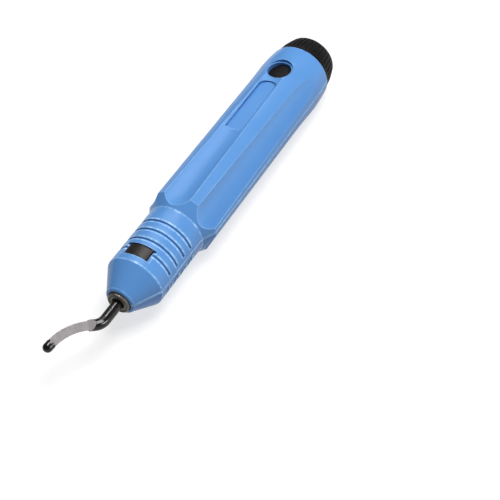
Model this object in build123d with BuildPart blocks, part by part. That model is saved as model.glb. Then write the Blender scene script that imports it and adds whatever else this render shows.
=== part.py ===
from build123d import *
import os
from math import sin, cos, atan, radians

os.makedirs("parts", exist_ok=True)

# ---------------------------------------------------------------------------
# Hand deburring tool with a swivelling blade, lying on a flat surface.
# Axis of the handle along X: the blade points to -X, the end cap to +X, the
# release button and the round window face +Z.  Origin on the axis, in the
# middle of the plain round band between the grip rings and the grip.
# "Stations" below are distances behind the front face of the handle.
# ---------------------------------------------------------------------------

BAND_STATION = 27.0            # station of the origin

# outside of the handle
NOSE_R = 4.55                  # front rim, outside
NOSE_OPENING_R = 3.62          # front rim, inside
SHOULDER_STATION = 7.7         # end of the nose cone
COLLAR_R = 8.82                # ringed collar behind the cone
RING_STATIONS = (12.66, 16.33, 20.05, 23.64)
RING_DEPTH = 0.60
FLARE_START = 29.1
FLARE_END = 33.0
LAND_R = 11.0                  # over the six lands, at the front
LAND_R_REAR = 10.62
BARREL_STATION = 97.0
HANDLE_END = 105.4
HANDLE_END_R = 9.75

# groove along the parting line of the two shells
PARTING_WIDTH = 0.30
PARTING_DEPTH = 0.13

# insides of the handle
BUSH_R = 3.40
BUSH_COLLAR_R = 4.35
TUBE_NOSE_R = 2.70
TUBE_R = 3.40
SHANK_R = 1.60
SHANK_BORE_R = 1.64
STORE_R = 6.9
CAP_BORE_R = 8.78
SKIRT_R = 8.69                 # at its front end; it widens slightly to the rear
SKIRT_REAR_R = 8.72

# release button
BUTTON_STATION = 12.0
BUTTON_LEN = 4.04
BUTTON_HALF_W = 3.55
BUTTON_STROKE = 1.5

# blade
BLADE_TILT = 29.0              # turn of the blade's plane about the axis
BEND_START = -6.9
BEND_R = 4.6
BEND_ANGLE = 48.0
SWEEP_R = 17.2
TIP_ANGLE = 4.0
EDGE_HALF_W = 1.30
TIP_R = 1.40
TIP_LEN = 1.45
RAMP_FROM = -0.46              # where the flat ends and its run-out begins
BLADE_END = 19.5

# end cap
CAP_START = 105.7
CAP_END = 113.8
CAP_R = 9.55
CAP_RIBS = 40


def st(station):
    """x of a station."""
    return station - BAND_STATION


def q(station, radius):
    return (station - BAND_STATION, radius)


def disc(station, radius):
    """Nothing but the plane of a cross-section."""
    return Plane(origin=(station - BAND_STATION, 0, 0), x_dir=(0, 1, 0), z_dir=(1, 0, 0))


# ---------------------------------------------------------------------------
# Handle form: turned outline, six flutes, ring grooves, insides.
# ---------------------------------------------------------------------------

# one flute cutter: a round bar sunk into the surface, rising slightly towards
# the rear and curving out of it at the end
FLUTE_R = 8.4                  # radius of the concave flute
FLUTE_FRONT = 8.97             # its bottom, above the axis, at station 33
FLUTE_SLOPE = 0.0117           # rise of the bottom per mm
FLUTE_RUNOUT = 87.0            # station where the bottom starts to curve out
FLUTE_RUNOUT_R = 61.0
FLUTE_LEAD = 34.3              # in front of this the bottom rises again
FLUTE_LEAD_R = 20.0

flute_a = atan(FLUTE_SLOPE)
flute_z = FLUTE_FRONT + FLUTE_SLOPE * (FLUTE_RUNOUT - 33.0) + FLUTE_R
flute_rho = FLUTE_RUNOUT_R - FLUTE_R
flute_c = (
    FLUTE_RUNOUT - BAND_STATION - flute_rho * sin(flute_a),
    flute_z + flute_rho * cos(flute_a),
)


def flute_arc(turn):
    a = flute_a + radians(turn)
    return (flute_c[0] + flute_rho * sin(a), flute_c[1] - flute_rho * cos(a))


lead_z = flute_z - (FLUTE_RUNOUT - FLUTE_LEAD) * FLUTE_SLOPE
lead_rho = FLUTE_LEAD_R - FLUTE_R
lead_c = (
    st(FLUTE_LEAD) - lead_rho * sin(flute_a),
    lead_z + lead_rho * cos(flute_a),
)


def lead_arc(turn):
    a = flute_a - radians(turn)
    return (lead_c[0] + lead_rho * sin(a), lead_c[1] - lead_rho * cos(a))


with BuildPart() as flute_cutter:
    with BuildLine(Plane.XZ) as flute_path:
        ThreePointArc(lead_arc(32), lead_arc(16), lead_arc(0))
        Line(lead_arc(0), flute_arc(0))
        ThreePointArc(flute_arc(0), flute_arc(7.5), flute_arc(15))
    with BuildSketch(
        Plane(
            origin=flute_path.line @ 0, x_dir=(0, 1, 0), z_dir=flute_path.line % 0
        )
    ):
        Circle(FLUTE_R)
    sweep(path=flute_path.line)

# fill of the ring grooves next to the parting line, a hair under the collar
with BuildPart() as groove_fill:
    with BuildSketch(Plane.XY):
        Polygon(
            q(10.6, 6.5),
            q(10.6, COLLAR_R - 0.06),
            q(24.9, COLLAR_R - 0.04),
            q(24.9, 6.5),
            align=None,
        )
    revolve(axis=Axis.X)
    with BuildSketch(Plane.XY.offset(-1.5)):
        with Locations((st(17.75), 0)):
            Rectangle(20, 24)
    extrude(amount=3.0, mode=Mode.INTERSECT)

with BuildPart() as handle_form:
    with BuildSketch(Plane.XY):
        with BuildLine():
            Polyline(q(0, 0), q(0, 3.95))
            ThreePointArc(q(0, 3.95), q(0.17, 4.36), q(0.6, 4.58))
            Line(q(0.6, 4.58), q(7.3, 8.60))
            ThreePointArc(q(7.3, 8.60), q(7.68, 8.77), q(8.15, COLLAR_R))
            here = 8.15
            for ring in RING_STATIONS:
                Line(q(here, COLLAR_R), q(ring - 0.95, COLLAR_R))
                ThreePointArc(
                    q(ring - 0.95, COLLAR_R),
                    q(ring - 0.60, COLLAR_R - 0.055),
                    q(ring - 0.34, COLLAR_R - 0.22),
                )
                ThreePointArc(
                    q(ring - 0.34, COLLAR_R - 0.22),
                    q(ring, COLLAR_R - RING_DEPTH),
                    q(ring + 0.34, COLLAR_R - 0.22),
                )
                ThreePointArc(
                    q(ring + 0.34, COLLAR_R - 0.22),
                    q(ring + 0.60, COLLAR_R - 0.055),
                    q(ring + 0.95, COLLAR_R),
                )
                here = ring + 0.95
            Line(q(here, COLLAR_R), q(FLARE_START - 0.39, COLLAR_R))
            ThreePointArc(
                q(FLARE_START - 0.39, COLLAR_R),
                q(FLARE_START - 0.01, COLLAR_R + 0.048),
                q(FLARE_START + 0.34, COLLAR_R + 0.19),
            )
            Line(q(FLARE_START + 0.34, COLLAR_R + 0.19), q(FLARE_END, LAND_R))
            Line(q(FLARE_END, LAND_R), q(BARREL_STATION, LAND_R_REAR))
            ThreePointArc(
                q(BARREL_STATION, LAND_R_REAR), q(101.2, 10.45), q(104.5, 10.14)
            )
            ThreePointArc(
                q(104.5, 10.14), q(105.12, 9.98), q(HANDLE_END, HANDLE_END_R)
            )
            Polyline(q(HANDLE_END, HANDLE_END_R), q(HANDLE_END, 0), q(0, 0))
        make_face()
    revolve(axis=Axis.X)

    # the six flutes
    for turn in range(0, 360, 60):
        add(flute_cutter.part.rotate(Axis.X, turn), mode=Mode.SUBTRACT)

    # label recess in the top flute, left blank
    with BuildSketch(Plane.XY.offset(9.2)):
        with BuildLine():
            Polyline(
                (st(64.6), -2.8),
                (st(85.4), -2.8),
            )
            ThreePointArc((st(85.4), -2.8), (st(87.15), -2.05), (st(87.9), -0.3))
            Line((st(87.9), -0.3), (st(87.9), 0.3))
            ThreePointArc((st(87.9), 0.3), (st(87.15), 2.05), (st(85.4), 2.8))
            Polyline((st(85.4), 2.8), (st(64.6), 2.8), (st(64.6), -2.8))
        make_face()
    extrude(amount=4, mode=Mode.SUBTRACT)

    # the ring grooves are filled in next to the parting line
    add(groove_fill.part)

    # front opening and seat of the nose bushing
    with BuildSketch(disc(-1, 0)):
        Circle(NOSE_OPENING_R)
    extrude(amount=2.2, mode=Mode.SUBTRACT)
    with BuildSketch(disc(-1, 0)):
        Circle(BUSH_R + 0.01)
    extrude(amount=6.2, mode=Mode.SUBTRACT)
    with BuildSketch(disc(5.0, 0)):
        Circle(BUSH_COLLAR_R + 0.03)
    extrude(amount=1.63, mode=Mode.SUBTRACT)

    # bore of the blade holder, up to its rear wall
    with BuildSketch(disc(6.0, 0)):
        Circle(TUBE_R + 0.01)
    extrude(amount=18.05, mode=Mode.SUBTRACT)
    # seat of the retaining ring
    with BuildSketch(disc(17.85, 0)):
        Circle(4.72)
    extrude(amount=0.95, mode=Mode.SUBTRACT)

    # chamber of the release mechanism: wide at the top for the button's
    # flange, narrower below for the latch plate
    with BuildSketch(Plane.XY.offset(3.1)):
        with Locations((st(12.0), 0)):
            Rectangle(6.7, 9.0)
    extrude(amount=3.05, mode=Mode.SUBTRACT)
    with BuildSketch(Plane.XY.offset(-5.9)):
        with Locations((st(12.0), 0)):
            Rectangle(6.7, 7.4)
    extrude(amount=9.2, mode=Mode.SUBTRACT)

    # finger relief: a shallow flat at either end of the button window
    with BuildSketch(Plane.XY.offset(7.40)):
        with Locations((st(BUTTON_STATION), 0)):
            Rectangle(4.3, 2 * 4.60)
    extrude(amount=3, mode=Mode.SUBTRACT)
    # button window, and the small cut at its rear corners
    with BuildSketch(Plane.XY.offset(5.5)):
        with Locations((st(BUTTON_STATION), 0)):
            Rectangle(4.3, 2 * 3.70)
    extrude(amount=4, mode=Mode.SUBTRACT)
    with BuildSketch(Plane.XY.offset(7.28)):
        with Locations((st(13.75), 0)):
            Rectangle(0.8, 2 * 4.55)
    extrude(amount=3, mode=Mode.SUBTRACT)

    # storage space for spare blades
    with BuildSketch(disc(31.0, 0)):
        Circle(STORE_R)
    extrude(amount=58.0, mode=Mode.SUBTRACT)
    # bore for the skirt of the end cap
    with BuildSketch(disc(88.2, 0)):
        Circle(CAP_BORE_R)
    extrude(amount=20, mode=Mode.SUBTRACT)

    # stepped round window over the skirt
    with BuildSketch(Plane.XY.offset(5)):
        with Locations((st(93.5), 0)):
            Circle(3.72)
    extrude(amount=8, mode=Mode.SUBTRACT)
    with BuildSketch(Plane.XY.offset(9.75)):
        with Locations((st(93.5), 0)):
            Circle(4.25)
    extrude(amount=4, mode=Mode.SUBTRACT)

# turned outline drawn in a little, used to cut the shallow parting groove
with BuildPart() as parting_core:
    with BuildSketch(Plane.XY):
        with BuildLine():
            Polyline(
                q(-1, 0),
                q(-1, 3.85),
                q(0.15, 4.10),
                q(0.65, 4.45),
                q(7.5, 8.56),
                q(8.15, COLLAR_R - PARTING_DEPTH - 0.06),
                q(FLARE_START + 0.05, COLLAR_R - PARTING_DEPTH + 0.02),
                q(FLARE_END + 0.05, LAND_R - PARTING_DEPTH),
                q(BARREL_STATION, LAND_R_REAR - PARTING_DEPTH),
                q(101.2, 10.45 - PARTING_DEPTH),
                q(104.4, 10.02),
                q(106, 10.02),
                q(106, 0),
                q(-1, 0),
            )
        make_face()
    revolve(axis=Axis.X)

with BuildPart() as parting_groove:
    with BuildSketch(Plane.XY.offset(-PARTING_WIDTH / 2)):
        with Locations((st(52.7), 0)):
            Rectangle(112, 26)
    extrude(amount=PARTING_WIDTH)
    add(parting_core.part, mode=Mode.SUBTRACT)

# ---------------------------------------------------------------------------
# Upper shell
# ---------------------------------------------------------------------------
with BuildPart() as upper_shell:
    add(handle_form.part)
    with BuildSketch(Plane.XY.offset(-20)):
        with Locations((st(52.7), 0)):
            Rectangle(120, 30)
    extrude(amount=20, mode=Mode.SUBTRACT)
    add(parting_groove.part, mode=Mode.SUBTRACT)
    # shallow facet along the parting line on the nose cone, both sides
    for side in (-1, 1):
        with BuildSketch(Plane.XY):
            Polygon(
                (st(1.5), side * 5.07),
                (st(8.0), side * 8.78),
                (st(8.0), side * 12),
                (st(1.5), side * 12),
                align=None,
            )
        extrude(amount=4, mode=Mode.SUBTRACT)

# ---------------------------------------------------------------------------
# Lower shell: shallow scallops between the ring grooves, under the parting
# ---------------------------------------------------------------------------
with BuildPart() as lower_shell:
    add(handle_form.part)
    with BuildSketch(Plane.XY):
        with Locations((st(52.7), 0)):
            Rectangle(120, 30)
    extrude(amount=20, mode=Mode.SUBTRACT)
    add(parting_groove.part, mode=Mode.SUBTRACT)
    for side in (-1, 1):
        for first, last in (
            (9.4, 12.0),
            (13.3, 15.7),
            (17.0, 19.4),
            (20.7, 23.0),
        ):
            # a face that looks sideways, cut from it outwards
            with BuildSketch(
                Plane(origin=(0, side * 8.22, 0), x_dir=(1, 0, 0), z_dir=(0, side, 0))
            ):
                with BuildLine():
                    top = -0.75 * (-side)
                    low = -3.6 * (-side)
                    mid = (first + last) / 2
                    Line((st(first), low), (st(last), low))
                    Line((st(last), low), (st(last), top + (low - top) * 0.35))
                    ThreePointArc(
                        (st(last), top + (low - top) * 0.35),
                        (st(mid), top),
                        (st(first), top + (low - top) * 0.35),
                    )
                    Line((st(first), top + (low - top) * 0.35), (st(first), low))
                make_face()
            extrude(amount=2, mode=Mode.SUBTRACT)

# ---------------------------------------------------------------------------
# Nose bushing: turned steel flange ring with a collar held in the shells
# ---------------------------------------------------------------------------
with BuildPart() as nose_bushing:
    with BuildSketch(Plane.XY):
        with BuildLine():
            Polyline(
                q(-0.80, TUBE_NOSE_R + 0.06),
                q(-1.00, 2.95),
                q(-1.00, 3.18),
                q(-0.78, BUSH_R),
                q(5.03, BUSH_R),
                q(5.03, BUSH_COLLAR_R),
                q(6.55, BUSH_COLLAR_R),
                q(6.55, TUBE_NOSE_R + 0.06),
                q(-0.80, TUBE_NOSE_R + 0.06),
            )
        make_face()
    revolve(axis=Axis.X)

# ---------------------------------------------------------------------------
# Blade holder: the tube the blade turns in
# ---------------------------------------------------------------------------
with BuildPart() as blade_holder:
    with BuildSketch(Plane.XY):
        with BuildLine():
            Polyline(
                q(-0.72, SHANK_BORE_R + 0.22),
                q(-0.92, SHANK_BORE_R + 0.42),
                q(-0.92, TUBE_NOSE_R - 0.2),
                q(-0.72, TUBE_NOSE_R),
                q(6.62, TUBE_NOSE_R),
                q(6.62, TUBE_R),
                q(17.93, TUBE_R),
                q(17.93, 3.0),
                q(18.72, 3.0),
                q(18.72, TUBE_R),
                q(23.7, TUBE_R),
                q(24.0, TUBE_R - 0.3),
                q(24.0, 0),
                q(22.68, 0),
                q(22.68, SHANK_BORE_R),
                q(-0.30, SHANK_BORE_R),
                q(-0.72, SHANK_BORE_R + 0.22),
            )
        make_face()
    revolve(axis=Axis.X)
    # cross slot for the latch plate
    with BuildSketch(Plane.XY.offset(-5)):
        with Locations((st(13.2), 0)):
            Rectangle(0.9, 4.8)
    extrude(amount=10, mode=Mode.SUBTRACT)
    # flat seat of the button spring
    with BuildSketch(Plane.XY.offset(3.0)):
        with Locations((st(10.9), 0)):
            Rectangle(3.6, 4.0)
    extrude(amount=2, mode=Mode.SUBTRACT)

# ---------------------------------------------------------------------------
# Retaining ring: open ring in the groove of the blade holder
# ---------------------------------------------------------------------------
with BuildPart() as retaining_ring:
    with BuildSketch(disc(17.96, 0)):
        Circle(4.6)
        Circle(3.05, mode=Mode.SUBTRACT)
        with Locations((0, -4)):
            Rectangle(3.4, 5, mode=Mode.SUBTRACT)
    extrude(amount=0.72)

# ---------------------------------------------------------------------------
# Thrust ball behind the blade
# ---------------------------------------------------------------------------
with BuildPart() as thrust_ball:
    with Locations((st(21.1), 0, 0)):
        Sphere(1.55)

# ---------------------------------------------------------------------------
# Blade: round shank, S-shaped end ground flat on one side, rounded tip
# ---------------------------------------------------------------------------
tilt = radians(BLADE_TILT)
blade_plane = Plane(
    origin=(0, 0, 0), x_dir=(1, 0, 0), z_dir=(0, -sin(tilt), cos(tilt))
)
a1 = radians(BEND_ANGLE)
a2 = radians(TIP_ANGLE)
bend_end = (BEND_START - BEND_R * sin(a1), BEND_R * (1 - cos(a1)))
sweep_c = (bend_end[0] - SWEEP_R * sin(a1), bend_end[1] - SWEEP_R * cos(a1))


def on_sweep(angle):
    a = radians(angle)
    return (sweep_c[0] + SWEEP_R * sin(a), sweep_c[1] + SWEEP_R * cos(a))


sweep_end = on_sweep(TIP_ANGLE)
tip_c = (sweep_end[0] - TIP_LEN * cos(a2), sweep_end[1] + TIP_LEN * sin(a2))
ground_from = 45.0             # heading where the ground faces begin


def b(point):
    return (point[0] - BAND_STATION, point[1])


with BuildPart() as blade:
    # round, dark part: straight shank and first bend
    with BuildLine(blade_plane) as dark_path:
        Line(b((BLADE_END, 0)), b((BEND_START, 0)))
        ThreePointArc(
            b((BEND_START, 0)),
            b(
                (
                    BEND_START - BEND_R * sin(a1 / 2),
                    BEND_R * (1 - cos(a1 / 2)),
                )
            ),
            b(bend_end),
        )
        ThreePointArc(
            b(bend_end),
            b(on_sweep((BEND_ANGLE + ground_from - 1.5) / 2)),
            b(on_sweep(ground_from - 1.5)),
        )
    with BuildSketch(Plane(origin=dark_path.line @ 0, z_dir=dark_path.line % 0)):
        Circle(SHANK_R)
    sweep(path=dark_path.line)

    # ground part: narrower, half round under the flat
    with BuildLine(blade_plane) as edge_path:
        ThreePointArc(
            b(on_sweep(ground_from + 2)),
            b(on_sweep((ground_from + 2 + TIP_ANGLE) / 2)),
            b(sweep_end),
        )
        Line(b(sweep_end), b(tip_c))
    with BuildSketch(Plane(origin=edge_path.line @ 0, z_dir=edge_path.line % 0)):
        Circle(EDGE_HALF_W)
    sweep(path=edge_path.line)

    # rounded tip
    tip_start = blade_plane.from_local_coords((b(sweep_end)[0], b(sweep_end)[1], 0))
    tip_mid = blade_plane.from_local_coords((b(tip_c)[0], b(tip_c)[1], 0))
    with BuildSketch(
        Plane(origin=tip_start, z_dir=(Vector(*tip_mid) - Vector(*tip_start)))
    ):
        Circle(TIP_R)
    extrude(amount=TIP_LEN)
    with Locations(tip_mid):
        Sphere(TIP_R)

    # the ground flat: everything above the blade's plane is taken off between
    # the first bend and the tip
    with BuildSketch(blade_plane.offset(0.05)):
        with BuildLine():
            g0 = on_sweep(ground_from + 1.0)
            g1 = sweep_end
            t0 = (cos(radians(ground_from)), -sin(radians(ground_from)))
            n0 = (sin(radians(ground_from)), cos(radians(ground_from)))
            t1 = (cos(a2), -sin(a2))
            n1 = (sin(a2), cos(a2))
            w = 2.4

            def at(p0, t, n, along, across):
                return b(
                    (
                        p0[0] + along * t[0] + across * n[0],
                        p0[1] + along * t[1] + across * n[1],
                    )
                )

            Line(at(g1, t1, n1, 0.0, -w), at(g0, t0, n0, RAMP_FROM, -w))
            Line(at(g0, t0, n0, RAMP_FROM, -w), at(g0, t0, n0, RAMP_FROM, w))
            ThreePointArc(
                at(g0, t0, n0, RAMP_FROM, w),
                b(
                    (
                        sweep_c[0] + (SWEEP_R + w) * sin(radians(24)),
                        sweep_c[1] + (SWEEP_R + w) * cos(radians(24)),
                    )
                ),
                at(g1, t1, n1, 0.0, w),
            )
            Line(at(g1, t1, n1, 0.0, w), at(g1, t1, n1, 0.0, -w))
        make_face()
    extrude(amount=3, mode=Mode.SUBTRACT)
    # run-out of the grinding, rising to the round shank
    foot = at(g0, t0, n0, RAMP_FROM, 0)
    ramp_plane = Plane(
        origin=blade_plane.from_local_coords((foot[0], foot[1], 0)),
        x_dir=blade_plane.from_local_coords((t0[0], t0[1], 0)),
        z_dir=blade_plane.from_local_coords((n0[0], n0[1], 0)),
    )
    with BuildSketch(ramp_plane):
        Polygon((-0.2, -0.05), (0, -0.05), (1.42, -1.80), (1.42, -3), (-0.2, -3), align=None)
    extrude(amount=2.4, both=True, mode=Mode.SUBTRACT)

    # neck that the latch plate holds
    with BuildSketch(disc(12.6, 0)):
        Circle(2.2)
        Circle(1.1, mode=Mode.SUBTRACT)
    extrude(amount=1.2, mode=Mode.SUBTRACT)

# ---------------------------------------------------------------------------
# Release button: domed key, retaining flange, slot for the latch plate
# ---------------------------------------------------------------------------
with BuildPart() as button_dome:
    with BuildSketch(disc(BUTTON_STATION - BUTTON_LEN / 2, 0)):
        with Locations((0, 0.45)):
            Circle(8.22)
    extrude(amount=BUTTON_LEN)

with BuildPart() as release_button:
    with BuildSketch(Plane.XY.offset(5.9)):
        with Locations((st(BUTTON_STATION), 0)):
            Rectangle(BUTTON_LEN, 2 * BUTTON_HALF_W)
    extrude(amount=4)
    add(button_dome.part, mode=Mode.INTERSECT)
    with BuildSketch(Plane.XY.offset(5.15)):
        with Locations((st(BUTTON_STATION), 0)):
            Rectangle(5.9, 8.4)
    extrude(amount=0.9)
    # pocket over the spring
    with BuildSketch(Plane.XY.offset(5.0)):
        with Locations((st(10.9), 0)):
            Circle(1.85)
    extrude(amount=0.95, mode=Mode.SUBTRACT)
    # slot for the latch plate
    with BuildSketch(Plane.XY.offset(5.0)):
        with Locations((st(13.2), 0)):
            Rectangle(0.82, 4.62)
    extrude(amount=1.65, mode=Mode.SUBTRACT)
    # fingernail ridges are absent: only the long edges are eased
    fillet(
        release_button.edges().filter_by(GeomType.CIRCLE).sort_by(Axis.Z)[-2:], 0.25
    )

# ---------------------------------------------------------------------------
# Latch plate: keyhole plate across the blade's neck
# ---------------------------------------------------------------------------
with BuildPart() as latch_plate:
    with BuildSketch(disc(12.8, 0)):
        with Locations((0, 1.3)):
            Rectangle(4.6, 10.6)
        Circle(1.25, mode=Mode.SUBTRACT)
        with Locations((0, 0.75)):
            Rectangle(2.5, 1.5, mode=Mode.SUBTRACT)
        with Locations((0, 1.5)):
            Circle(1.85, mode=Mode.SUBTRACT)
    extrude(amount=0.8)

# ---------------------------------------------------------------------------
# Button spring
# ---------------------------------------------------------------------------
with BuildPart() as button_spring:
    with BuildLine() as coil:
        Helix(pitch=0.72, height=2.55, radius=1.3, center=(st(10.9), 0, 3.19))
    with BuildSketch(Plane(origin=coil.line @ 0, z_dir=coil.line % 0)):
        Circle(0.17)
    sweep(path=coil.line, is_frenet=True)

# ---------------------------------------------------------------------------
# End cap: ribbed knob with a long plain skirt inside the handle
# ---------------------------------------------------------------------------
with BuildPart() as rib_cutter:
    with BuildSketch(
        Plane(origin=(st(CAP_START + 0.9), 0, CAP_R + 0.13),
            x_dir=(0, 1, 0),
            z_dir=(1, 0, -0.175),)
    ):
        Circle(0.5)
    extrude(amount=10)

with BuildPart() as end_cap:
    with BuildSketch(Plane.XY):
        with BuildLine():
            Polyline(
                q(88.6, SKIRT_R),
                q(101.0, SKIRT_REAR_R - 0.005),
                q(101.0, 8.0),
                q(101.9, 8.0),
                q(101.9, SKIRT_REAR_R - 0.005),
                q(CAP_START, SKIRT_REAR_R),
                q(CAP_START, CAP_R - 0.25),
                q(CAP_START + 0.25, CAP_R),
                q(CAP_START + 0.75, CAP_R),
            )
            ThreePointArc(
                q(CAP_START + 0.75, CAP_R), q(109.6, 9.10), q(112.4, 8.25)
            )
            ThreePointArc(q(112.4, 8.25), q(113.42, 7.72), q(CAP_END, 6.8))
            Polyline(
                q(CAP_END, 6.8),
                q(CAP_END, 0),
                q(111.4, 0),
                q(111.4, 7.0),
                q(109.0, 7.4),
                q(88.6, 7.4),
                q(88.6, SKIRT_R),
            )
        make_face()
    revolve(axis=Axis.X)
    for rib in range(CAP_RIBS):
        add(
            rib_cutter.part.rotate(Axis.X, 360 / CAP_RIBS * (rib + 0.5)),
            mode=Mode.SUBTRACT,
        )

# ---------------------------------------------------------------------------
# O-ring that holds the cap in the handle
# ---------------------------------------------------------------------------
with BuildPart() as cap_o_ring:
    with BuildSketch(Plane.XY):
        with Locations(q(101.45, 8.37)):
            Circle(0.35)
    revolve(axis=Axis.X)

# ---------------------------------------------------------------------------
# Export
# ---------------------------------------------------------------------------
upper_shell.part.label = "upper_shell"
export_step(upper_shell.part, "parts/upper_shell.step")
lower_shell.part.label = "lower_shell"
export_step(lower_shell.part, "parts/lower_shell.step")
nose_bushing.part.label = "nose_bushing"
export_step(nose_bushing.part, "parts/nose_bushing.step")
blade_holder.part.label = "blade_holder"
export_step(blade_holder.part, "parts/blade_holder.step")
retaining_ring.part.label = "retaining_ring"
export_step(retaining_ring.part, "parts/retaining_ring.step")
thrust_ball.part.label = "thrust_ball"
export_step(thrust_ball.part, "parts/thrust_ball.step")
blade.part.label = "blade"
export_step(blade.part, "parts/blade.step")
release_button.part.label = "release_button"
export_step(release_button.part, "parts/release_button.step")
latch_plate.part.label = "latch_plate"
export_step(latch_plate.part, "parts/latch_plate.step")
button_spring.part.label = "button_spring"
export_step(button_spring.part, "parts/button_spring.step")
end_cap.part.label = "end_cap"
export_step(end_cap.part, "parts/end_cap.step")
cap_o_ring.part.label = "cap_o_ring"
export_step(cap_o_ring.part, "parts/cap_o_ring.step")
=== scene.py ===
import bpy
from mathutils import Matrix, Vector


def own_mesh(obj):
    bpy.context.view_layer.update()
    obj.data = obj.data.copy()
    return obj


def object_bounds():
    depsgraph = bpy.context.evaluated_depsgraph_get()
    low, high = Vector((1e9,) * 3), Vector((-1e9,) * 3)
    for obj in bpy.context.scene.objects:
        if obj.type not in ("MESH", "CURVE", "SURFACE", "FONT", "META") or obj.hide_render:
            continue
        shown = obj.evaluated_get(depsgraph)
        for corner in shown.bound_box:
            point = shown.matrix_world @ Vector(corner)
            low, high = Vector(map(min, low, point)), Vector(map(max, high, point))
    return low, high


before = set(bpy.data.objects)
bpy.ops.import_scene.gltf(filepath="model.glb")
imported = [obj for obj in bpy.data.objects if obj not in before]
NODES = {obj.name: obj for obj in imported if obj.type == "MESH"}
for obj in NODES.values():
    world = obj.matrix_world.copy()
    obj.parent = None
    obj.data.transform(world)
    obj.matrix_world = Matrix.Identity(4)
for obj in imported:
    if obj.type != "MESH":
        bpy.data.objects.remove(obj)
cad_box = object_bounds()
scene = bpy.context.scene
BAND = 27.0  # the frame's origin lies this many millimetres behind the handle's front face


def mm(*v):
    return tuple(c / 1000.0 for c in v)


# ---------------------------------------------------------------------------
# node helpers
# ---------------------------------------------------------------------------
class Mat:
    """A small wrapper that keeps the node code short."""

    def __init__(self, name):
        self.m = bpy.data.materials.new(name)
        self.m.use_nodes = True
        self.t = self.m.node_tree
        self.t.nodes.clear()
        self.out = self.t.nodes.new("ShaderNodeOutputMaterial")
        self.bsdf = self.t.nodes.new("ShaderNodeBsdfPrincipled")
        self.link(self.bsdf.outputs[0], self.out.inputs["Surface"])
        self.tc = self.t.nodes.new("ShaderNodeTexCoord")
        self.obj = self.tc.outputs["Object"]

    def node(self, kind, **props):
        n = self.t.nodes.new(kind)
        for k, v in props.items():
            setattr(n, k, v)
        return n

    def link(self, a, b):
        self.t.links.new(a, b)

    def put(self, socket, value):
        if isinstance(value, bpy.types.NodeSocket):
            self.link(value, socket)
        else:
            socket.default_value = value

    def set(self, **values):
        for k, v in values.items():
            self.put(self.bsdf.inputs[k.replace("_", " ")], v)

    def noise(self, scale, detail=3.0, rough=0.5, vector=None, distort=0.0):
        n = self.node("ShaderNodeTexNoise")
        self.put(n.inputs["Vector"], vector if vector is not None else self.obj)
        n.inputs["Scale"].default_value = scale
        n.inputs["Detail"].default_value = detail
        n.inputs["Roughness"].default_value = rough
        n.inputs["Distortion"].default_value = distort
        return n.outputs["Fac"]

    def ramp(self, fac, stops, mode="LINEAR"):
        n = self.node("ShaderNodeValToRGB")
        n.color_ramp.interpolation = mode
        els = n.color_ramp.elements
        while len(els) > len(stops):
            els.remove(els[-1])
        while len(els) < len(stops):
            els.new(1.0)
        for e, (pos, col) in zip(els, stops):
            e.position = pos
            e.color = (*col, 1.0) if len(col) == 3 else col
        self.link(fac, n.inputs["Fac"])
        return n.outputs["Color"]

    def span(self, value, a, b, c, d, smooth=False):
        n = self.node("ShaderNodeMapRange")
        n.interpolation_type = "SMOOTHSTEP" if smooth else "LINEAR"
        self.put(n.inputs["Value"], value)
        for i, v in zip(("From Min", "From Max", "To Min", "To Max"), (a, b, c, d)):
            n.inputs[i].default_value = v
        return n.outputs["Result"]

    def math(self, op, a, b=None, c=None):
        n = self.node("ShaderNodeMath", operation=op)
        for i, v in enumerate((a, b, c)):
            if v is not None:
                self.put(n.inputs[i], v)
        return n.outputs[0]

    def vmath(self, op, a, b=None):
        n = self.node("ShaderNodeVectorMath", operation=op)
        self.put(n.inputs[0], a)
        if b is not None:
            self.put(n.inputs[1], b)
        return n.outputs["Value"] if op in ("DOT_PRODUCT", "LENGTH") else n.outputs[0]

    def xyz(self, vector=None):
        n = self.node("ShaderNodeSeparateXYZ")
        self.put(n.inputs[0], vector if vector is not None else self.obj)
        return n.outputs

    def join(self, x, y, z):
        n = self.node("ShaderNodeCombineXYZ")
        for s, v in zip(n.inputs, (x, y, z)):
            self.put(s, v)
        return n.outputs[0]

    def mix(self, fac, a, b):
        n = self.node("ShaderNodeMix", data_type="RGBA")
        self.put(n.inputs["Factor"], fac)
        self.put(n.inputs["A"], a if not isinstance(a, tuple) else (*a, 1.0)[:4])
        self.put(n.inputs["B"], b if not isinstance(b, tuple) else (*b, 1.0)[:4])
        return n.outputs["Result"]

    def fmix(self, fac, a, b):
        n = self.node("ShaderNodeMix", data_type="FLOAT")
        self.put(n.inputs["Factor"], fac)
        self.put(n.inputs["A"], a)
        self.put(n.inputs["B"], b)
        return n.outputs["Result"]

    def bump(self, height, distance, strength=1.0, normal=None):
        n = self.node("ShaderNodeBump")
        n.inputs["Strength"].default_value = strength
        n.inputs["Distance"].default_value = distance
        self.link(height, n.inputs["Height"])
        if normal is not None:
            self.link(normal, n.inputs["Normal"])
        return n.outputs["Normal"]

    def bevel(self, radius, samples=6):
        n = self.node("ShaderNodeBevel", samples=samples)
        n.inputs["Radius"].default_value = radius
        return n.outputs["Normal"]

    def hollow_shade(self, distance, high, low, samples=8):
        """1 in narrow grooves and inside corners, 0 on open faces."""
        n = self.node("ShaderNodeAmbientOcclusion", samples=samples)
        n.inputs["Distance"].default_value = distance
        return self.span(n.outputs["AO"], high, low, 0.0, 1.0)

    def edge(self, radius, low=0.02, high=0.22):
        """1 along sharp convex or concave edges, 0 on open faces."""
        soft = self.bevel(radius, 6)
        hard = self.node("ShaderNodeNewGeometry").outputs["Normal"]
        return self.span(
            self.math("SUBTRACT", 1.0, self.vmath("DOT_PRODUCT", soft, hard)),
            low,
            high,
            0.0,
            1.0,
        )


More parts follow.
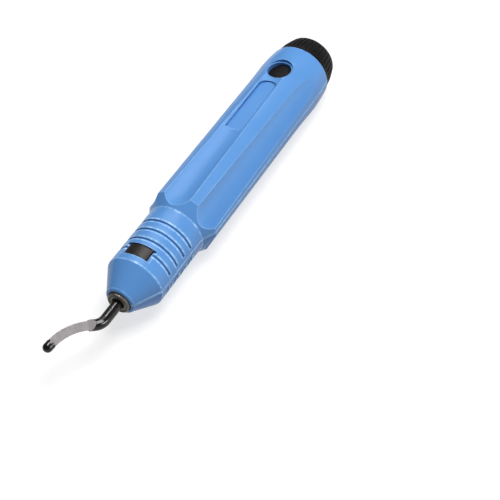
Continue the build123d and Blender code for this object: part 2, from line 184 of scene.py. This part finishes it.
# ---------------------------------------------------------------------------
# blue moulded plastic of the two shells
# ---------------------------------------------------------------------------
RINGS = (12.66, 16.33, 20.05, 23.64)  # stations of the ring grooves


def blue_plastic(name, under=False):
    m = Mat(name)
    p = m.xyz()
    cloud = m.noise(130.0, 4.0, 0.55)  # slow flow marks, about 8 mm
    fine = m.noise(2600.0, 3.0, 0.6)  # moulded grain
    speck = m.noise(7000.0, 2.0, 0.5)
    patch = m.noise(900.0, 4.0)
    base = m.ramp(
        cloud,
        [
            (0.25, (0.091, 0.253, 0.565)),
            (0.55, (0.095, 0.260, 0.578)),
            (0.80, (0.099, 0.267, 0.591)),
        ],
    )
    off = m.math("ABSOLUTE", p[2])  # height above or below the parting line
    near = m.span(off, 0.00026, 0.00046, 1.0, 0.0)
    # painted shade: the steep flanks next to the parting line are darkened
    steep = m.math("DIVIDE", off, m.math("MAXIMUM", m.math("ABSOLUTE", p[1]), 0.0001))
    flank_shade = m.math("MULTIPLY", m.span(steep, 0.02, 0.60, 0.40, 0.0), m.span(patch, 0.3, 0.7, 0.85, 1.0))
    base = m.mix(flank_shade, base, (0.024, 0.100, 0.290, 1.0))
    if under:
        # painted shade: the lower half is darker towards the bottom, as if in shadow
        underside_shade = m.span(p[2], -0.0004, -0.0036, 0.36, 0.66)
        underside_shade = m.math("MULTIPLY", underside_shade, m.span(patch, 0.3, 0.7, 0.92, 1.0))
        base = m.mix(underside_shade, base, (0.016, 0.072, 0.210, 1.0))
    # painted shade: the grooves and corners are darkened where the occlusion finds them hollow
    hollow_shade = m.math("MULTIPLY", m.hollow_shade(0.0011, 0.90, 0.45), m.fmix(near, 1.0, 0.25))
    base = m.mix(m.math("MULTIPLY", hollow_shade, 0.58), base, (0.022, 0.098, 0.350, 1.0))
    # painted highlight: a pale line along the edges, fading towards the rear
    edge = m.edge(0.00030, 0.003, 0.030)
    edge_highlight = m.math("MULTIPLY", edge, m.span(patch, 0.35, 0.62, 0.50, 0.95))
    edge_highlight = m.math("MULTIPLY", edge_highlight, m.span(hollow_shade, 0.1, 0.5, 1.0, 0.0))
    edge_highlight = m.math("MULTIPLY", edge_highlight, m.span(p[0], (45 - BAND) / 1000, (84 - BAND) / 1000, 1.0, 0.22))
    base = m.mix(edge_highlight, base, (0.330, 0.600, 0.900, 1.0))
    # painted highlight: pale shoulders on either side of the ring grooves
    gap = None
    for ring in RINGS:
        d = m.math("ABSOLUTE", m.math("SUBTRACT", p[0], (ring - BAND) / 1000))
        gap = d if gap is None else m.math("MINIMUM", gap, d)
    rim_highlight = m.math(
        "MULTIPLY",
        m.span(gap, 0.00034, 0.00052, 0.0, 1.0),
        m.span(gap, 0.00070, 0.00105, 1.0, 0.0),
    )
    rim_highlight = m.math("MULTIPLY", rim_highlight, m.span(off, 0.0014, 0.0022, 0.0, 1.0))
    rim_highlight = m.math("MULTIPLY", rim_highlight, m.span(patch, 0.40, 0.60, 0.30, 0.95))
    base = m.mix(rim_highlight, base, (0.370, 0.640, 0.930, 1.0))
    # painted highlight: the turned creases at either end of the collar are paled as if they catch the light
    for crease, wide in ((7.85, 0.34), (29.10, 0.30)):
        d = m.math("ABSOLUTE", m.math("SUBTRACT", p[0], (crease - BAND) / 1000))
        crease_highlight = m.span(d, wide * 0.0004, wide * 0.001, 1.0, 0.0)
        crease_highlight = m.math("MULTIPLY", crease_highlight, m.span(patch, 0.40, 0.62, 0.14, 0.55))
        base = m.mix(crease_highlight, base, (0.370, 0.640, 0.930, 1.0))
    # pale line along the parting line
    seam = m.math("MULTIPLY", near, m.span(patch, 0.35, 0.65, 0.60, 0.78))
    base = m.mix(seam, base, (0.300, 0.520, 0.860, 1.0))
    # a little grime settles in hollows of the grain
    base = m.mix(m.span(speck, 0.30, 0.42, 0.22, 0.0), base, (0.060, 0.190, 0.480, 1.0))
    rough = m.fmix(m.span(cloud, 0.3, 0.7, 0.0, 1.0), 0.44, 0.52)
    rough = m.math("ADD", rough, m.span(fine, 0.3, 0.7, -0.03, 0.05))
    n = m.bump(fine, 0.00002, 0.30, m.bevel(0.00020))
    m.set(Base_Color=base, Roughness=rough, Normal=n)
    m.bsdf.inputs["Specular IOR Level"].default_value = 0.08
    m.bsdf.inputs["Coat Weight"].default_value = 0.42
    m.bsdf.inputs["Coat Roughness"].default_value = 0.16
    return m.m


# ---------------------------------------------------------------------------
# black plastics: cap (with matt grain) and button (browner, smoother)
# ---------------------------------------------------------------------------
def black_plastic(name, dark, light, rough_lo, rough_hi, gloss):
    m = Mat(name)
    cloud = m.noise(260.0, 4.0, 0.6)
    fine = m.noise(3200.0, 3.0, 0.6)
    base = m.mix(m.span(cloud, 0.35, 0.65, 0.0, 1.0), (*dark, 1.0), (*light, 1.0))
    edge = m.edge(0.0003)
    scuff = m.math("MULTIPLY", edge, m.span(m.noise(1500.0, 4.0), 0.4, 0.65, 0.1, 0.8))
    base = m.mix(scuff, base, tuple(min(1.0, c * 3.2 + 0.02) for c in light) + (1.0,))
    rough = m.math(
        "ADD",
        m.fmix(m.span(cloud, 0.3, 0.7, 0.0, 1.0), rough_lo, rough_hi),
        m.span(fine, 0.3, 0.7, -0.04, 0.06),
    )
    n = m.bump(fine, 0.00003, 0.5, m.bevel(0.00015))
    m.set(Base_Color=base, Roughness=rough, Normal=n)
    m.bsdf.inputs["Specular IOR Level"].default_value = gloss
    return m.m


# ---------------------------------------------------------------------------
# turned steel: fine rings around the tool's axis
# ---------------------------------------------------------------------------
def turned_steel(name, dark, light, rough, metal=1.0):
    m = Mat(name)
    p = m.xyz()
    radius = m.math(
        "SQRT",
        m.math("ADD", m.math("MULTIPLY", p[1], p[1]), m.math("MULTIPLY", p[2], p[2])),
    )
    ring = m.noise(
        1.0,
        3.0,
        0.7,
        vector=m.join(
            m.math("MULTIPLY", p[0], 9000.0), m.math("MULTIPLY", radius, 9000.0), 0.0
        ),
    )
    blot = m.noise(700.0, 4.0, 0.6)
    base = m.mix(m.span(ring, 0.3, 0.7, 0.0, 1.0), (*dark, 1.0), (*light, 1.0))
    base = m.mix(
        m.span(blot, 0.42, 0.62, 0.0, 0.45), base, tuple(c * 0.6 for c in dark) + (1.0,)
    )
    edge = m.edge(0.0002)
    base = m.mix(
        m.math("MULTIPLY", edge, 0.6), base, tuple(min(1.0, c * 2.2) for c in light) + (1.0,)
    )
    n = m.bump(ring, 0.000012, 0.6, m.bevel(0.00010))
    m.set(Base_Color=base, Normal=n)
    m.put(m.bsdf.inputs["Roughness"], m.span(blot, 0.3, 0.7, rough - 0.06, rough + 0.12))
    m.bsdf.inputs["Metallic"].default_value = metal
    return m.m


# ---------------------------------------------------------------------------
# blade: black oxide, ground grey on the flat of the cutting end
# ---------------------------------------------------------------------------
BLADE_N = Vector((0.0, -0.48481, 0.87462))  # out of the ground flat
RAMP_N = Vector((-0.5491, 0.1747, 0.8173))  # out of the run-out of the grinding


def blade_steel(name):
    m = Mat(name)
    p = m.xyz()
    # object-space normal of the real faces
    normal = m.tc.outputs["Normal"]
    facing = m.span(m.vmath("DOT_PRODUCT", normal, tuple(BLADE_N)), 0.955, 0.985, 0.0, 1.0)
    rising = m.span(m.vmath("DOT_PRODUCT", normal, tuple(RAMP_N)), 0.970, 0.990, 0.0, 1.0)
    facing = m.math("MAXIMUM", facing, rising)
    behind = m.span(p[0], (-22.45 - BAND) / 1000, (-22.25 - BAND) / 1000, 0.0, 1.0)
    ahead = m.span(p[0], (-8.6 - BAND) / 1000, (-8.2 - BAND) / 1000, 1.0, 0.0)
    ground = m.math("MULTIPLY", facing, m.math("MULTIPLY", behind, ahead))
    # grinding lines across the blade
    across = m.noise(
        1.0,
        3.0,
        0.65,
        vector=m.join(
            m.math("MULTIPLY", p[0], 5200.0),
            m.math("MULTIPLY", p[1], 500.0),
            m.math("MULTIPLY", p[2], 500.0),
        ),
    )
    blot = m.noise(420.0, 4.0, 0.6)
    grey = m.mix(
        m.span(across, 0.3, 0.7, 0.0, 1.0),
        (0.186, 0.173, 0.176, 1.0),
        (0.243, 0.230, 0.234, 1.0),
    )
    grey = m.mix(m.span(blot, 0.45, 0.65, 0.0, 0.5), grey, (0.160, 0.149, 0.149, 1.0))
    # painted light: the run-out faces away from the key, so its grey is made brighter to read as bright as
    # the flat
    grey = m.mix(rising, grey, (0.460, 0.440, 0.455, 1.0))
    black = m.mix(
        m.span(blot, 0.35, 0.65, 0.0, 1.0), (0.004, 0.0034, 0.003, 1.0), (0.011, 0.0095, 0.0085, 1.0)
    )
    edge = m.edge(0.00018)
    rub = m.math("MULTIPLY", edge, m.span(m.noise(1800.0, 3.0), 0.35, 0.6, 0.05, 0.35))
    black = m.mix(rub, black, (0.22, 0.20, 0.19, 1.0))
    base = m.mix(ground, black, grey)
    n = m.bump(across, 0.00001, 0.5, m.bevel(0.00010))
    m.set(
        Base_Color=base,
        Roughness=m.fmix(ground, m.span(blot, 0.3, 0.7, 0.16, 0.26), 0.55),
        Metallic=m.fmix(ground, 0.10, 0.30),
        Coat_Weight=m.fmix(ground, 0.22, 0.0),
        Normal=n,
    )
    m.bsdf.inputs["Specular IOR Level"].default_value = 0.24
    m.bsdf.inputs["Coat Roughness"].default_value = 0.10
    return m.m


def rubber(name):
    m = Mat(name)
    fine = m.noise(2500.0, 4.0, 0.6)
    base = m.mix(m.span(fine, 0.3, 0.7, 0.0, 1.0), (0.010, 0.010, 0.010, 1.0), (0.022, 0.022, 0.021, 1.0))
    m.set(Base_Color=base, Roughness=m.span(fine, 0.3, 0.7, 0.5, 0.72), Normal=m.bump(fine, 0.00002, 0.6))
    return m.m


blue = blue_plastic("blue_plastic")
blue_under = blue_plastic("blue_plastic_under", under=True)
cap_black = black_plastic("cap_black", (0.004, 0.0036, 0.0036), (0.008, 0.0072, 0.0072), 0.42, 0.55, 0.11)
button_black = black_plastic("button_black", (0.009, 0.007, 0.006), (0.019, 0.015, 0.013), 0.30, 0.42, 0.22)
dark_steel = turned_steel("dark_steel", (0.075, 0.071, 0.059), (0.140, 0.133, 0.110), 0.45, 0.5)
bright_steel = turned_steel("bright_steel", (0.42, 0.42, 0.41), (0.62, 0.62, 0.60), 0.28)
blade_mat = blade_steel("blade_steel")
o_ring = rubber("black_rubber")

for names, mat in (
    (("upper_shell",), blue),
    (("lower_shell",), blue_under),
    (("nose_bushing", "blade_holder"), dark_steel),
    (("retaining_ring", "thrust_ball", "latch_plate", "button_spring"), bright_steel),
    (("blade",), blade_mat),
    (("release_button",), button_black),
    (("end_cap",), cap_black),
    (("cap_o_ring",), o_ring),
):
    for nm in names:
        ob = NODES[nm]
        ob.data.materials.clear()
        ob.data.materials.append(mat)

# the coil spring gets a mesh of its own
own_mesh(NODES["button_spring"])

# ---------------------------------------------------------------------------
# floor, light, camera
# ---------------------------------------------------------------------------
low = cad_box[0][2]
bpy.ops.mesh.primitive_plane_add(size=3.0, location=(0.03, 0.0, low))
floor = bpy.context.object
floor.name = "floor"
fm = Mat("floor_paper")
paper = fm.noise(900.0, 4.0, 0.6)
fm.set(
    Base_Color=fm.mix(fm.span(paper, 0.3, 0.7, 0.0, 1.0), (0.29, 0.29, 0.29, 1.0), (0.32, 0.32, 0.32, 1.0)),
    Roughness=fm.span(paper, 0.3, 0.7, 0.75, 0.9),
    Normal=fm.bump(paper, 0.00002, 0.3),
)
# the paper is lit from behind as well, as on a light table
fm.bsdf.inputs["Emission Color"].default_value = (1.0, 1.0, 1.0, 1.0)
# further out, where the lamps don't reach, it takes over from them
reach_out = fm.vmath("LENGTH", fm.obj)
fm.link(fm.span(reach_out, 0.30, 1.00, 0.70, 0.97), fm.bsdf.inputs["Emission Strength"])
floor.data.materials.append(fm.m)

# a pale wall round the table, seen past the floor's edge in low views
bpy.ops.mesh.primitive_cylinder_add(
    vertices=96, radius=1.42, depth=2.4, end_fill_type="NOTHING", location=(0.03, 0.0, low + 1.19)
)
wall = bpy.context.object
wall.name = "wall"
wm = Mat("wall_paint")
plaster = wm.noise(14.0, 3.0, 0.6)
wm.set(
    Base_Color=wm.mix(wm.span(plaster, 0.3, 0.7, 0.0, 1.0), (0.60, 0.60, 0.60, 1.0), (0.64, 0.64, 0.64, 1.0)),
    Roughness=wm.span(plaster, 0.3, 0.7, 0.8, 0.9),
)
wm.bsdf.inputs["Emission Color"].default_value = (1.0, 1.0, 1.0, 1.0)
wm.bsdf.inputs["Emission Strength"].default_value = 0.62
wall.data.materials.append(wm.m)
for name in ("visible_diffuse", "visible_glossy", "visible_shadow"):
    setattr(wall, name, False)

world = bpy.data.worlds.new("studio")
scene.world = world
world.use_nodes = True
bg = world.node_tree.nodes["Background"]
bg.inputs["Color"].default_value = (1.0, 1.0, 1.0, 1.0)
bg.inputs["Strength"].default_value = 0.12


def area(name, direction, reach, at, size, power, glossy=True, diffuse=True):
    data = bpy.data.lights.new(name, "AREA")
    data.shape = "RECTANGLE"
    data.size, data.size_y = size
    data.energy = power
    ob = bpy.data.objects.new(name, data)
    scene.collection.objects.link(ob)
    where = Vector(at) + Vector(direction).normalized() * reach
    ob.location = where
    ob.visible_glossy = glossy
    ob.visible_diffuse = diffuse
    ob.rotation_euler = (Vector(at) - where).to_track_quat("-Z", "Y").to_euler()
    return ob


target = (0.025, 0.0, 0.0)
# a soft key for the shading; the glints come from three panels of their own
area("key", (0.230, -0.260, 0.938), 0.754, target, (0.46, 0.46), 7.9, glossy=False)
area("glint_top", (0.27, 0.04, 0.962), 0.60, target, (0.17, 0.17), 2.9, diffuse=False)
area("glint_side", (0.137, -0.962, 0.231), 0.60, target, (0.20, 0.14), 2.0, diffuse=False)
area("glint_rear", (0.566, 0.185, 0.803), 0.60, target, (0.50, 0.20), 0.70, diffuse=False)

camera_data = bpy.data.cameras.new("camera")
camera = bpy.data.objects.new("camera", camera_data)
scene.collection.objects.link(camera)
right = Vector((0.48298436, -0.86971662, -0.10158298))
up = Vector((0.66787027, 0.29087395, 0.68508513))
back = Vector((-0.56628209, -0.39872966, 0.72134545))
spot = Vector(mm(-159.764 - BAND, -157.496, 242.890))
m4 = Matrix((right, up, back)).transposed().to_4x4()
m4.translation = spot
camera.matrix_world = m4
camera_data.sensor_width = 36.0
camera_data.lens = 87.77
camera_data.clip_start = 0.01
camera_data.clip_end = 10.0
camera_data.dof.use_dof = False
scene.camera = camera

scene.view_settings.view_transform = "Standard"
scene.view_settings.look = "None"
scene.view_settings.exposure = 0.0
scene.view_settings.gamma = 1.0
